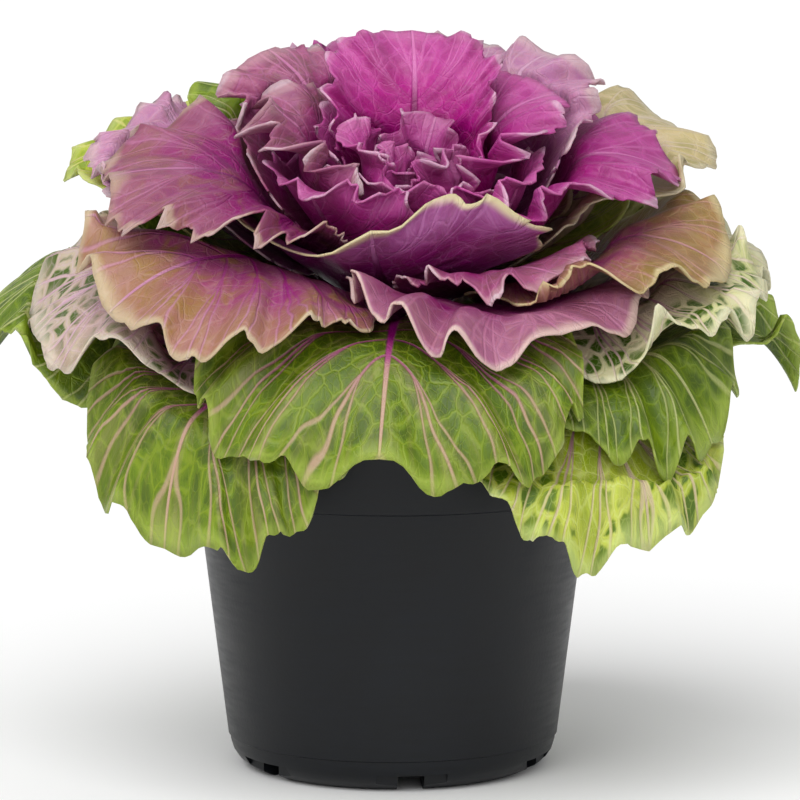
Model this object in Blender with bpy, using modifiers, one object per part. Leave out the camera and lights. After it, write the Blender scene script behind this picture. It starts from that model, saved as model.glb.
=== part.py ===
"""Ornamental kale in a round nursery pot.

Units are metres, +Z is up and -Y is the front. The origin is on the floor, under the middle
of the whole plant's outline. A thin plastic pot holds the soil, a short leaning stem stands in
a hole in the soil, and every leaf is a blade of its own on that stem. The smallest leaves, at
the centre, are grown together as the heart.

All leaves follow one family of curves that fan out of the stem, from upright at the centre to
drooping at the rim. A leaf's place in that fan is its layer, an elevation in degrees. Leaves are
laid from the heart outwards, and each one is pressed below those that already cover it.
"""

import math
from collections import namedtuple

import bmesh
import bpy
import numpy as np
from mathutils import Matrix, Vector

MM = 0.001

# Moves the axis of the pot so that the whole plant's outline is centred on the origin
PLACE = Vector((-0.9 * MM, -3.9 * MM, 0))

# Pot: radii and heights of the outside
POT_HEIGHT = 104 * MM
RIM_RADIUS = 65 * MM
COLLAR_FOOT_RADIUS = 61.3 * MM
COLLAR_FOOT_HEIGHT = 80 * MM
BODY_TOP_RADIUS = 56.3 * MM
BODY_FOOT_RADIUS = 47 * MM
BODY_FOOT_HEIGHT = 8 * MM
FOOT_RING_RADIUS = 40 * MM
FLOOR_PLATE_HEIGHT = 4 * MM
POT_WALL = 1.3 * MM
POT_SIDES = 48
NOTCHES = 6
NOTCH_TURN = math.radians(-83)
NOTCH_WIDTH = 7.4 * MM
RECESS_WIDTH = 20 * MM
RECESS_DEPTH = 1.0 * MM

# Soil and stem
SOIL_TOP = 94 * MM
SOIL_SIDES = 40
CLEARANCE = 0.35 * MM
STEM_RADIUS = 7.4 * MM
STEM_SIDES = 14

# Head: where the leaves part from the stem, and how far the head leans
CROWN = Vector((3 * MM, -5 * MM, 128.5 * MM))
LEAN_FORWARD = math.radians(20)
LEAN_RIGHT = math.radians(2)

# Blades
BLADE = 0.8 * MM
RIB = 1.4 * MM
GAP = 2.3 * MM
INNER_GAP = 3.2 * MM

Leaf = namedtuple("Leaf", "name azimuth layer length width cup droop ruffle waves skew roll")

# azimuth and layer in degrees (0 is right, -90 the front, 90 the back); length and half width
# in mm; cup and droop in degrees at the side and at the tip; ruffle in mm; waves on each side;
# skew turns the midrib sideways, in degrees at the tip
LEAVES = [
    Leaf("inner_1", 84, 72, 71, 31, 2, 14, 3.4, 4.4, 6, 0),
    Leaf("inner_2", 32, 68, 66, 29, 2, 16, 3.6, 4.4, -6, 0),
    Leaf("inner_3", 168, 66, 64, 28, 2, 16, 3.6, 4.4, 5, 0),
    Leaf("inner_4", 118, 72, 53, 23, 4, 10, 2.4, 4.4, 4, 0),
    Leaf("inner_5", -95, 67, 44, 26, 6, 7, 2.4, 5.0, 0, 0),
    Leaf("inner_6", -30, 61, 54, 25, 4, 12, 3.0, 4.2, 0, 0),
    Leaf("inner_7", -144, 61.5, 54, 26, 4, 12, 2.6, 4.4, 0, 0),
    Leaf("middle_1", 134, 58, 77, 31, 0, 16, 3.6, 4.6, 0, 0),
    Leaf("middle_2", 50, 59, 80, 34, 0, 18, 4.0, 4.6, 0, 0),
    Leaf("middle_3", 97, 53.5, 82, 33, 0, 16, 3.2, 4.6, 0, 0),
    Leaf("middle_4", 6, 49, 81, 35, 2, 20, 4.0, 4.6, 0, 0),
    Leaf("middle_5", 186, 42, 88, 41, 0, 18, 3.6, 4.8, 0, 0),
    Leaf("cup_leaf", -105, 37, 51, 43, 3.5, -10, 2.6, 5.0, 0, 0),
    Leaf("middle_6", -45, 35.25, 60, 29, 2, 11, 2.8, 4.4, 0, 0),
    Leaf("pink_left", 154, 37, 96, 37, 0, 18, 3.5, 4.6, 0, 0),
    Leaf("cream_right", 34, 38, 98, 38, 0, 18, 3.6, 4.6, 0, 0),
    Leaf("tan_back", 74, 48, 90, 36, 0, 20, 4.2, 4.4, 0, 0),
    Leaf("green_back_left", 122, 39, 92, 35, 0, 16, 3.5, 4.4, 0, 0),
    Leaf("tan_right", -11.5, 28, 89, 41, 4, 12, 3.6, 4.8, 0, 0),
    Leaf("tan_left", 212, 27.5, 92, 49, 4, 15, 3.6, 5.2, 0, -4),
    Leaf("cream_front", -57, 27.7, 75, 43, 6, 14.75, 4.8, 5.6, 0, 0),
    Leaf("purple_left", -138, 22, 66, 34, 0, 20, 3.4, 4.0, 0, 0),
    Leaf("lime_left", 150, 31, 104, 34, 0, 18, 3.8, 4.4, 0, 0),
    Leaf("spotted_right", -15.75, 20.4, 98, 37, 4, 12, 3.8, 4.8, 0, 0),
    Leaf("spotted_back_right", 14, 19, 101, 32, 0, 16, 3.6, 4.4, 0, 0),
    Leaf("spotted_left", 192, 18, 100, 40, 4, 20, 4.2, 5.0, 0, 0),
    Leaf("green_left", 170, 10, 116, 42, 0, 18, 4.0, 5.0, 0, 0),
    Leaf("pale_right", 19, 13.65, 98, 31, 0, 19, 3.8, 4.6, 0, 0),
    Leaf("green_front", -94, 24, 89, 53, -2, 26, 3.8, 6.0, 0, 0),
    Leaf("curled_right", 14, 0.7, 116, 20, 10, 16, 4.0, 4.4, 0, 0),
    Leaf("green_right", -30.75, 17.2, 93, 38, 0, 24, 4.0, 5.0, 0, 4),
    Leaf("drooping_left", -137, 13, 98, 46, 0, 32, 4.2, 5.8, 8, 0),
    Leaf("drooping_right", -42, 14.2, 101, 45, 0, 31, 4.2, 5.8, -8, 0),
    Leaf("under_front", -82, 17, 70, 22, 0, 24, 3.2, 4.4, 0, 0),
    Leaf("under_left", 208, 3, 86, 30, 0, 22, 3.4, 4.6, 0, 0),
    Leaf("green_back_1", 58, 34, 98, 40, 0, 22, 4.2, 4.8, 0, 0),
    Leaf("green_back_2", 94, 28, 100, 42, 0, 24, 4.2, 4.8, 0, 0),
    Leaf("green_back_3", 130, 18, 104, 42, 0, 26, 4.2, 4.8, 0, 0),
    Leaf("green_back_4", 54, 10, 104, 42, 0, 24, 4.2, 4.8, 0, 0),
    Leaf("green_back_5", 78, 8, 100, 44, 0, 28, 4.2, 4.8, 0, 0),
]
HEART_LEAVES = [
    Leaf("heart_1", 20, 90, 35, 9, 0, 2, 1.4, 2.6, 0, 0),
    Leaf("heart_2", 150, 88, 39, 11, 0, 4, 1.6, 2.8, 0, 0),
    Leaf("heart_3", -95, 86, 37, 13, 0, 4, 1.6, 2.8, 0, 0),
    Leaf("heart_4", 60, 83, 46, 16, 0, 6, 2.0, 3.2, 0, 0),
    Leaf("heart_5", -30, 81, 44, 15, 0, 6, 2.0, 3.2, 0, 0),
    Leaf("heart_6", 185, 80, 48, 17, 0, 8, 2.0, 3.4, 0, 0),
]

# The fan of curves: attachment on the stem and course, by layer
FAN_LAYERS = np.array([-95.0, -60.0, -20.0, 20.0, 50.0, 90.0, 110.0])
FAN_HEIGHTS = np.array([-24.0, -19.0, -11.0, 0.0, 9.0, 15.0, 16.0]) * MM
FAN_RADII = np.array([8.8, 8.8, 8.8, 8.7, 7.5, 2.5, 1.0]) * MM
FAN_ARCH = 20 * MM
FAN_REACH = 160 * MM
LAYER_STEPS = np.linspace(-95.0, 110.0, 83)
REACH_STEPS = np.linspace(0.0, FAN_REACH, 81)

# Cells of the cover that earlier leaves make, by distance along the fan and by azimuth
COVER_RINGS = 54
COVER_SPOKES = 90
OPEN_SKY = 130.0


def fan_tables():
    """Radius and height of every curve of the fan, by layer and distance along it."""
    layer = LAYER_STEPS[:, None]
    reach = REACH_STEPS[None, :]
    start = 42 + 0.5 * layer
    fall = np.interp(layer, [-60, 20, 90], [8, 7, 3]) * (reach / (100 * MM)) ** 2
    slope = np.radians(layer + (start - layer) * np.exp(-reach / FAN_ARCH) - fall)
    step = REACH_STEPS[1]

    def along(values, first):
        middle = (values[:, 1:] + values[:, :-1]) / 2 * step
        return np.concatenate([first, first + np.cumsum(middle, axis=1)], axis=1)

    radius = along(np.cos(slope), np.interp(layer, FAN_LAYERS, FAN_RADII))
    height = along(np.sin(slope), np.interp(layer, FAN_LAYERS, FAN_HEIGHTS))
    return radius, height


FAN_RADIUS, FAN_HEIGHT = fan_tables()


def fan(table, layer, reach):
    """Bilinear reading of a fan table."""
    i = (np.clip(layer, LAYER_STEPS[0], LAYER_STEPS[-1]) - LAYER_STEPS[0]) / (
        LAYER_STEPS[1] - LAYER_STEPS[0]
    )
    j = np.clip(reach, 0, FAN_REACH) / REACH_STEPS[1]
    i0 = np.minimum(i.astype(int), len(LAYER_STEPS) - 2)
    j0 = np.minimum(j.astype(int), len(REACH_STEPS) - 2)
    u, v = i - i0, j - j0
    low = table[i0, j0] * (1 - v) + table[i0, j0 + 1] * v
    high = table[i0 + 1, j0] * (1 - v) + table[i0 + 1, j0 + 1] * v
    return low * (1 - u) + high * u


def flat_blade(leaf, rows, columns):
    """The leaf laid flat. A row runs from the midrib to the edge as a side vein does: it counts
    from -1 at the stem to 0 where the blade begins, and on to 1 at the tip. A column counts from
    0 on the midrib to 1 or -1 at the edge. Returns x across and y along."""
    length, width = leaf.length * MM, leaf.width * MM
    row, column = np.meshgrid(rows, columns, indexing="ij")
    side = np.abs(column)
    stalk = 0.2 * length
    half_stalk = np.clip(0.07 * length, 1.6 * MM, 3.4 * MM)
    blade = length - stalk
    along = np.clip(row, 0, 1)
    rib = stalk + blade * 0.76 * along**1.4
    edge_x = width * np.sin(np.pi * along) ** 0.72 + half_stalk * (1 - along) ** 2
    edge_y = stalk + blade * (1 - np.cos(np.pi * along)) / 2
    x = edge_x * column
    y = rib + (edge_y - rib) * side**1.3
    on_stalk = row < 0
    x = np.where(on_stalk, half_stalk * column, x)
    y = np.where(on_stalk, stalk * (1 + row), y)
    return x, y


def ruffle(leaf, rows, columns, seed):
    """Waves that grow towards the edge, in metres, across the blade."""
    draw = np.random.default_rng(seed)
    row, column = np.meshgrid(rows, columns, indexing="ij")
    phase = draw.uniform(0, 2 * np.pi, 6)
    along = np.clip(row, 0, 1)
    turn = np.where(column < 0, phase[0], phase[1])
    # both sides meet in one wave at the tip
    meet = along**6
    turn = turn * (1 - meet) + phase[2] * meet
    wander = 0.9 * np.sin(2 * np.pi * 1.3 * along + phase[3] * np.sign(column + 1e-9))
    wave = np.sin(2 * np.pi * leaf.waves * along + turn + wander * (1 - meet))
    fade = np.clip(along / 0.12, 0, 1)
    return leaf.ruffle * MM * wave * fade * np.abs(column) ** 2.2


class Cover:
    """The lowest layer that earlier leaves reach in each direction."""

    def __init__(self):
        self.cells = np.full((COVER_RINGS, COVER_SPOKES), OPEN_SKY)

    def spread(self):
        """A copy that reaches past the edges of the leaves and has soft steps."""
        cells = self.cells
        for _ in range(2):
            ring = np.pad(cells, ((1, 1), (0, 0)), mode="edge")
            cells = np.minimum(np.minimum(ring[:-2], ring[2:]), ring[1:-1])
            cells = np.minimum(cells, np.minimum(np.roll(cells, 1, 1), np.roll(cells, -1, 1)))
        for _ in range(2):
            ring = np.pad(cells, ((1, 1), (0, 0)), mode="edge")
            cells = (ring[:-2] + ring[2:] + ring[1:-1]) / 3
            cells = (cells + np.roll(cells, 1, 1) + np.roll(cells, -1, 1)) / 3
        return cells

    @staticmethod
    def place(reach, azimuth):
        i = np.clip(reach / FAN_REACH, 0, 0.9999) * COVER_RINGS - 0.5
        j = (azimuth / (2 * np.pi) % 1.0) * COVER_SPOKES - 0.5
        return i, j

    @classmethod
    def read(cls, cells, reach, azimuth):
        i, j = cls.place(reach, azimuth)
        i = np.clip(i, 0, COVER_RINGS - 1.001)
        i0, j0 = np.floor(i).astype(int), np.floor(j).astype(int)
        u, v = i - i0, j - j0
        j0, j1 = j0 % COVER_SPOKES, (j0 + 1) % COVER_SPOKES
        low = cells[i0, j0] * (1 - v) + cells[i0, j1] * v
        high = cells[i0 + 1, j0] * (1 - v) + cells[i0 + 1, j1] * v
        return low * (1 - u) + high * u

    def add(self, reach, azimuth, layer):
        i, j = self.place(reach, azimuth)
        i = np.clip(np.round(i).astype(int), 0, COVER_RINGS - 1)
        j = np.round(j).astype(int) % COVER_SPOKES
        np.minimum.at(self.cells, (i, j), layer)


def leaf_course(leaf, seed, rows, columns, cells):
    """Reach, azimuth and layer of every point of a leaf, pressed below what covers it."""
    x, y = flat_blade(leaf, rows, columns)
    reach = np.hypot(x, y)
    tip = reach / (leaf.length * MM)
    side = np.abs(x) / (leaf.width * MM)
    layer = leaf.layer + leaf.cup * side**1.5 - leaf.droop * tip**3.2
    layer = layer + leaf.roll * x / (leaf.width * MM)
    per_degree = 0.25 * MM + reach * 0.0155
    layer = layer + ruffle(leaf, rows, columns, seed) / per_degree
    radius = np.maximum(fan(FAN_RADIUS, layer, reach), 6 * MM)
    swing = reach * np.arctan2(x, y) / radius
    swing = 1.9 * np.tanh(swing / 1.9)
    azimuth = math.radians(leaf.azimuth) + swing + math.radians(leaf.skew) * tip**2
    gap = GAP + (INNER_GAP - GAP) * min(max((leaf.layer - 40) / 20, 0), 1)
    gap = gap * (1 + 0.35 * side**2)
    limit = Cover.read(cells, reach, azimuth) - gap / per_degree
    soft = 1.2
    over = np.clip((layer - limit) / soft, -30, 30)
    press = soft * np.log1p(np.exp(over))
    if leaf in HEART_LEAVES:
        press = press * np.clip(reach / (12 * MM), 0, 1)
    return reach, azimuth, layer - press


def head_matrix():
    lean = Matrix.Rotation(LEAN_FORWARD, 4, "X") @ Matrix.Rotation(LEAN_RIGHT, 4, "Y")
    return Matrix.Translation(CROWN) @ lean


def leaf_points(reach, azimuth, layer):
    radius = fan(FAN_RADIUS, layer, reach)
    height = fan(FAN_HEIGHT, layer, reach)
    local = np.stack([radius * np.cos(azimuth), radius * np.sin(azimuth), height], axis=-1)
    matrix = np.array(head_matrix())
    points = local @ matrix[:3, :3].T + matrix[:3, 3]
    # leaves rest above the rim of the pot and hang clear of its collar
    out = np.hypot(points[..., 0], points[..., 1])
    floor = POT_HEIGHT + 4.2 * MM - 6 * np.maximum(out - RIM_RADIUS - 4 * MM, 0)
    soft = 1.6 * MM
    points[..., 2] += soft * np.log1p(np.exp(np.clip((floor - points[..., 2]) / soft, -30, 30)))
    return points


SAMPLE_ROWS = np.concatenate([np.linspace(-1, 0, 12)[:-1], np.linspace(0, 1, 70)])
SAMPLE_COLUMNS = np.linspace(-1, 1, 61)


def lay_leaves():
    """Lays all leaves from the heart outwards. Returns (leaf, seed, cover) for each."""
    cover, laid = Cover(), []
    ordered = sorted(HEART_LEAVES + LEAVES, key=lambda leaf: -leaf.layer)
    for seed, leaf in enumerate(ordered):
        cells = cover.spread()
        course = leaf_course(leaf, seed, SAMPLE_ROWS, SAMPLE_COLUMNS, cells)
        cover.add(*course)
        laid.append((leaf, seed, cells))
    return laid


def wave_rows(leaf, seed, side):
    """Rows of the crests and troughs of one edge, with both ends of the blade."""
    rows = np.linspace(0, 1, 601)
    wave = ruffle(leaf, rows, np.array([side * 1.0]), seed)[:, 0]
    turn = np.flatnonzero(np.diff(np.sign(np.diff(wave)))) + 1
    turn = rows[turn]
    turn = turn[(turn > 0.05) & (turn < 0.97)]
    return np.concatenate([[0.0], turn, [1.0]])


def stitch(first, second, first_rows, second_rows, flip):
    """Triangles between two lines of points, zipped up in order of their rows."""
    faces, i, j = [], 0, 0
    while i < len(first) - 1 or j < len(second) - 1:
        step_first = j == len(second) - 1
        if i < len(first) - 1 and j < len(second) - 1:
            step_first = first_rows[i + 1] <= second_rows[j + 1] + 1e-9
        if step_first:
            face = (first[i], first[i + 1], second[j])
            i += 1
        else:
            face = (first[i], second[j + 1], second[j])
            j += 1
        if len(set(face)) == 3:
            faces.append(face[::-1] if flip else face)
    return faces


def leaf_object(leaf, seed, cells, coarse_rows, columns):
    """A leaf with a rib along its middle, thickened downwards from its upper face."""
    mesh = bpy.data.meshes.new(leaf.name)
    stalk_rows = np.array([-1.0, -0.6, -0.25])
    vertices, weights, faces = [], [], []
    rib_rows = np.concatenate([stalk_rows, np.linspace(0, 1, coarse_rows)])
    tip = None
    rib = None
    for side in (-1, 1):
        edge_rows = np.concatenate([stalk_rows, wave_rows(leaf, seed, side)])
        lines, line_rows = [], []
        for k, column in enumerate(columns):
            if k == 0 and rib is not None:
                lines.append(rib)
                line_rows.append(rib_rows)
                continue
            rows = edge_rows if k >= len(columns) - 2 else rib_rows
            course = leaf_course(leaf, seed, rows, np.array([side * column]), cells)
            points = leaf_points(*course)[:, 0, :]
            start = len(vertices)
            count = len(rows) if tip is None else len(rows) - 1
            vertices += [tuple(point) for point in points[:count]]
            thin = BLADE / RIB
            for row in rows[:count]:
                rib_share = max(0.0, 1 - column / 0.3) * min(1.0, 1.2 - max(row, 0.0))
                weights.append(thin + (1 - thin) * rib_share)
            line = list(range(start, start + count))
            if tip is None:
                tip = line[-1]
            elif count < len(rows):
                line.append(tip)
            lines.append(line)
            line_rows.append(rows)
            if k == 0:
                rib = line
        for k in range(len(columns) - 1):
            pair = (lines[k], lines[k + 1], line_rows[k], line_rows[k + 1])
            faces += stitch(*pair, flip=side > 0)
    mesh.from_pydata(vertices, [], faces)
    body = bpy.data.objects.new(leaf.name, mesh)
    group = body.vertex_groups.new(name="rib")
    for index, weight in enumerate(weights):
        group.add([index], float(weight), "REPLACE")
    shell = body.modifiers.new("blade", "SOLIDIFY")
    shell.thickness = RIB
    shell.offset = -1
    shell.vertex_group = "rib"
    shell.use_even_offset = False
    return body


def material(name, colour, roughness):
    made = bpy.data.materials.new(name)
    made.use_nodes = True
    shader = made.node_tree.nodes["Principled BSDF"]
    shader.inputs["Base Color"].default_value = (*colour, 1)
    shader.inputs["Roughness"].default_value = roughness
    shader.inputs["Metallic"].default_value = 0
    return made


def leaf_colour(leaf):
    """Magenta at the centre, tan and cream next, green at the rim."""
    if leaf.name.startswith(("inner", "heart")):
        return (0.39, 0.04, 0.28)
    if leaf.name.startswith(("middle", "cup", "purple", "pink")):
        return (0.42, 0.10, 0.32)
    if leaf.name.startswith(("tan", "cream")):
        return (0.46, 0.24, 0.25)
    if leaf.name.startswith(("spotted", "lime", "pale")):
        return (0.38, 0.45, 0.16)
    return (0.09, 0.22, 0.04)


def lathe(name, profile, sides):
    """A closed body of revolution about Z from a closed profile of (radius, height)."""
    mesh = bpy.data.meshes.new(name)
    vertices, rings = [], []
    for radius, height in profile:
        if radius == 0:
            rings.append([len(vertices)] * sides)
            vertices.append((0, 0, height))
            continue
        rings.append(list(range(len(vertices), len(vertices) + sides)))
        for i in range(sides):
            angle = 2 * math.pi * i / sides
            vertices.append((radius * math.cos(angle), radius * math.sin(angle), height))
    faces = []
    for low, high in zip(rings, rings[1:] + rings[:1]):
        for i in range(sides):
            face = (low[i], low[(i + 1) % sides], high[(i + 1) % sides], high[i])
            face = tuple(dict.fromkeys(face))
            if len(face) > 2:
                faces.append(face)
    mesh.from_pydata(vertices, [], faces)
    return bpy.data.objects.new(name, mesh)


def boolean(body, cutter, operation):
    step = body.modifiers.new(operation.lower(), "BOOLEAN")
    step.operation = operation
    step.solver = "EXACT"
    step.object = cutter


def box(name, low, high, turn):
    """A cutter between two corners, turned about Z."""
    mesh = bpy.data.meshes.new(name)
    shape = bmesh.new()
    bmesh.ops.create_cube(shape, size=1)
    size = Vector(high) - Vector(low)
    middle = (Vector(high) + Vector(low)) / 2
    place = Matrix.Rotation(turn, 4, "Z") @ Matrix.Translation(middle)
    bmesh.ops.transform(shape, verts=shape.verts, matrix=place @ Matrix.Diagonal((*size, 1)))
    shape.to_mesh(mesh)
    shape.free()
    return bpy.data.objects.new(name, mesh)


def build_pot(parts, cutters):
    floor = FLOOR_PLATE_HEIGHT
    wall = POT_WALL
    outside = [
        (0, floor),
        (FOOT_RING_RADIUS - 5 * MM, floor),
        (FOOT_RING_RADIUS - 4 * MM, 0),
        (FOOT_RING_RADIUS, 0),
        (FOOT_RING_RADIUS + 4.4 * MM, 2.8 * MM),
        (BODY_FOOT_RADIUS, BODY_FOOT_HEIGHT),
        (BODY_TOP_RADIUS, COLLAR_FOOT_HEIGHT),
        (COLLAR_FOOT_RADIUS - 1 * MM, COLLAR_FOOT_HEIGHT + 0.3 * MM),
        (COLLAR_FOOT_RADIUS, COLLAR_FOOT_HEIGHT + 1.5 * MM),
        (RIM_RADIUS, POT_HEIGHT - 0.5 * MM),
        (RIM_RADIUS - 0.5 * MM, POT_HEIGHT),
    ]
    inside = [
        (RIM_RADIUS - wall, POT_HEIGHT),
        (COLLAR_FOOT_RADIUS - wall, COLLAR_FOOT_HEIGHT + 2.5 * MM),
        (BODY_TOP_RADIUS - wall, COLLAR_FOOT_HEIGHT + 1.0 * MM),
        (BODY_FOOT_RADIUS - wall, BODY_FOOT_HEIGHT + 1.5 * MM),
        (BODY_FOOT_RADIUS - 4 * MM, floor + 2.2 * MM),
        (0, floor + 2.2 * MM),
    ]
    pot = lathe("pot", outside + inside, POT_SIDES)
    parts.objects.link(pot)
    for i in range(NOTCHES):
        turn = NOTCH_TURN + 2 * math.pi * i / NOTCHES
        half, recess = NOTCH_WIDTH / 2, RECESS_WIDTH / 2
        low, high = (30 * MM, -half, -1 * MM), (60 * MM, half, floor + 0.4 * MM)
        slot = box(f"notch_{i}", low, high, turn)
        low = (BODY_FOOT_RADIUS - RECESS_DEPTH - 3 * MM, -recess, -2 * MM)
        high = (60 * MM, recess, floor + 1.2 * MM)
        panel = box(f"recess_{i}", low, high, turn)
        for cutter in (slot, panel):
            cutters.objects.link(cutter)
            boolean(pot, cutter, "DIFFERENCE")
    pot.data.materials.append(material("pot_plastic", (0.014, 0.016, 0.021), 0.45))
    return pot


def stem_axis(height):
    """A point on the axis of the head, at a height measured in the head's own frame."""
    return head_matrix() @ Vector((0, 0, height))


def build_stem(parts):
    """A short woody stem, upright in its hole and bending into the lean of the head."""
    foot = stem_foot()
    lean = head_matrix().to_3x3()
    upright = Matrix.Identity(3)
    stations = [(Vector((foot.x, foot.y, SOIL_TOP - 14 * MM)), upright, STEM_RADIUS)]
    stations.append((Vector((foot.x, foot.y, SOIL_TOP + 1 * MM)), upright, STEM_RADIUS))
    for height, share in ((-26, 1.0), (-12, 1.0), (-3, 1.0), (3, 0.9), (8.6, 0.74)):
        stations.append((stem_axis(height * MM), lean, STEM_RADIUS * share))
    vertices, faces = [], []
    for centre, turn, radius in stations:
        for i in range(STEM_SIDES):
            angle = 2 * math.pi * i / STEM_SIDES
            out = turn @ Vector((math.cos(angle) * radius, math.sin(angle) * radius, 0))
            vertices.append(tuple(centre + out))
    for k in range(len(stations) - 1):
        for i in range(STEM_SIDES):
            a, b = k * STEM_SIDES + i, k * STEM_SIDES + (i + 1) % STEM_SIDES
            faces.append((a, b, b + STEM_SIDES, a + STEM_SIDES))
    last = (len(stations) - 1) * STEM_SIDES
    faces.append(tuple(reversed(range(STEM_SIDES))))
    faces.append(tuple(range(last, last + STEM_SIDES)))
    mesh = bpy.data.meshes.new("stem")
    mesh.from_pydata(vertices, [], faces)
    stem = bpy.data.objects.new("stem", mesh)
    stem.data.materials.append(material("stem_bark", (0.25, 0.27, 0.13), 0.7))
    parts.objects.link(stem)
    return stem


def stem_foot():
    start = stem_axis(-26 * MM)
    return Vector((start.x, start.y + 4 * MM, SOIL_TOP))


def build_soil(parts, cutters):
    """Potting soil, a little lumpy on top, with a plain hole for the stem."""
    draw = np.random.default_rng(7)
    wall = POT_WALL + CLEARANCE
    floor = FLOOR_PLATE_HEIGHT + 2.2 * MM + CLEARANCE
    slope = (RIM_RADIUS - COLLAR_FOOT_RADIUS) / (POT_HEIGHT - COLLAR_FOOT_HEIGHT)
    top_radius = COLLAR_FOOT_RADIUS - wall + slope * (SOIL_TOP - COLLAR_FOOT_HEIGHT) - 1 * MM
    profile = [
        (0, floor),
        (BODY_FOOT_RADIUS - 4.6 * MM, floor),
        (BODY_FOOT_RADIUS - wall - 0.2 * MM, BODY_FOOT_HEIGHT + 1.8 * MM),
        (BODY_TOP_RADIUS - wall - 0.3 * MM, COLLAR_FOOT_HEIGHT + 1 * MM),
        (COLLAR_FOOT_RADIUS - wall - 1.2 * MM, COLLAR_FOOT_HEIGHT + 3.4 * MM),
        (top_radius, SOIL_TOP - 1 * MM),
        (top_radius * 0.8, SOIL_TOP),
        (top_radius * 0.6, SOIL_TOP),
        (top_radius * 0.4, SOIL_TOP),
        (0, SOIL_TOP),
    ]
    soil = lathe("soil", profile, SOIL_SIDES)
    for vertex in soil.data.vertices:
        if vertex.co.z > SOIL_TOP - 0.1 * MM and vertex.co.xy.length > 1 * MM:
            vertex.co.z += draw.uniform(-1.0, 1.0) * MM
    foot = stem_foot()
    radius = STEM_RADIUS + CLEARANCE
    base = SOIL_TOP - 14 * MM - CLEARANCE
    hole_profile = [(0, base), (radius, base), (radius, SOIL_TOP + 9 * MM), (0, SOIL_TOP + 9 * MM)]
    hole = lathe("stem_hole", hole_profile, STEM_SIDES)
    for vertex in hole.data.vertices:
        vertex.co.x += foot.x
        vertex.co.y += foot.y
    cutters.objects.link(hole)
    parts.objects.link(soil)
    boolean(soil, hole, "DIFFERENCE")
    soil.data.materials.append(material("soil_peat", (0.035, 0.022, 0.015), 0.95))
    return soil


def build_leaves(parts, laid):
    for leaf, seed, cells in laid:
        if leaf in HEART_LEAVES:
            continue
        wrapped = leaf.layer > 38.5 or leaf.width > 47
        columns = (0, 0.3, 0.58, 0.82, 1) if wrapped else (0, 0.45, 0.78, 1)
        body = leaf_object(leaf, seed, cells, 7 if wrapped else 6, columns)
        body.data.materials.append(material(leaf.name, leaf_colour(leaf), 0.5))
        parts.objects.link(body)


def build_heart(parts, cutters, laid):
    """The smallest leaves grown together on a short core."""
    matrix = head_matrix()
    profile = [(0, 9.2), (3.6, 9.2), (3.6, 15), (1.5, 22), (0, 22)]
    core = lathe("heart", [(radius * MM, height * MM) for radius, height in profile], 10)
    core.data.transform(matrix)
    parts.objects.link(core)
    for leaf, seed, cells in laid:
        if leaf not in HEART_LEAVES:
            continue
        body = leaf_object(leaf, seed, cells, 5, (0, 0.6, 1))
        cutters.objects.link(body)
        boolean(core, body, "UNION")
    core.data.materials.append(material("heart", (0.40, 0.04, 0.28), 0.5))


def collection(name, hidden):
    made = bpy.data.collections.new(name)
    bpy.context.scene.collection.children.link(made)
    made.hide_render = hidden
    return made


def main():
    for old in list(bpy.data.objects):
        bpy.data.objects.remove(old)
    parts = collection("ornamental_kale_plant", False)
    cutters = collection("cutters", True)
    laid = lay_leaves()
    build_pot(parts, cutters)
    build_soil(parts, cutters)
    build_stem(parts)
    build_heart(parts, cutters, laid)
    build_leaves(parts, laid)
    for body in list(parts.objects) + list(cutters.objects):
        body.location = PLACE
    for cutter in cutters.objects:
        cutter.hide_render = True
        cutter.display_type = "WIRE"


if __name__ == "__main__":
    main()
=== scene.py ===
"""Ornamental kale in its pot, dressed for its picture.

This is a Blender add-on run as a script. The property groups hold the sizes and the colours,
one operator builds each piece or group of pieces, and another lays out the floor, the light
and the camera. The leaves follow the same named sizes as the solids they stand for.
"""

import math
from collections import namedtuple

import bpy
import numpy as np
from mathutils import Matrix, Vector


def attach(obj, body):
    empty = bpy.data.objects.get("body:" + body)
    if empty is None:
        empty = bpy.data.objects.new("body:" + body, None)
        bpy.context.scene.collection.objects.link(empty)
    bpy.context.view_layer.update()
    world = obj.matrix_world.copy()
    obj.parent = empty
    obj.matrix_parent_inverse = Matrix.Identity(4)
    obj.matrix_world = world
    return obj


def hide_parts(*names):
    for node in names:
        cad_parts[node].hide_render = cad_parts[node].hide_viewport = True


bl_info = {
    "name": "Ornamental kale",
    "version": (1, 0, 0),
    "blender": (4, 5, 0),
    "location": "View3D > Sidebar > Kale",
    "description": "Builds the visual model of a potted ornamental kale",
    "category": "Object",
}

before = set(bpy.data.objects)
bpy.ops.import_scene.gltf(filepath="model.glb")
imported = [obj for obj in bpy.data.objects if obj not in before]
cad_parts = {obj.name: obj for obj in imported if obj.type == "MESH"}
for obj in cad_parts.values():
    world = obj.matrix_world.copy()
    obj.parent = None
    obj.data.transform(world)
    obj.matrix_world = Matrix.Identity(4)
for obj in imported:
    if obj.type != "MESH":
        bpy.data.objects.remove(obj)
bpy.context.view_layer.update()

MM = 0.001
PLACE = Vector((-0.9 * MM, -3.9 * MM, 0))

# Pot
POT_HEIGHT = 104 * MM
RIM_RADIUS = 65 * MM
BODY_FOOT_RADIUS = 47 * MM
POT_SIDES = 144
NOTCHES = 6
NOTCH_TURN = math.radians(-83)
NOTCH_WIDTH = 7.4 * MM
NOTCH_HEIGHT = 4.4 * MM
RECESS_WIDTH = 20 * MM
RECESS_HEIGHT = 5.2 * MM
RECESS_DEPTH = 1.0 * MM

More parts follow.
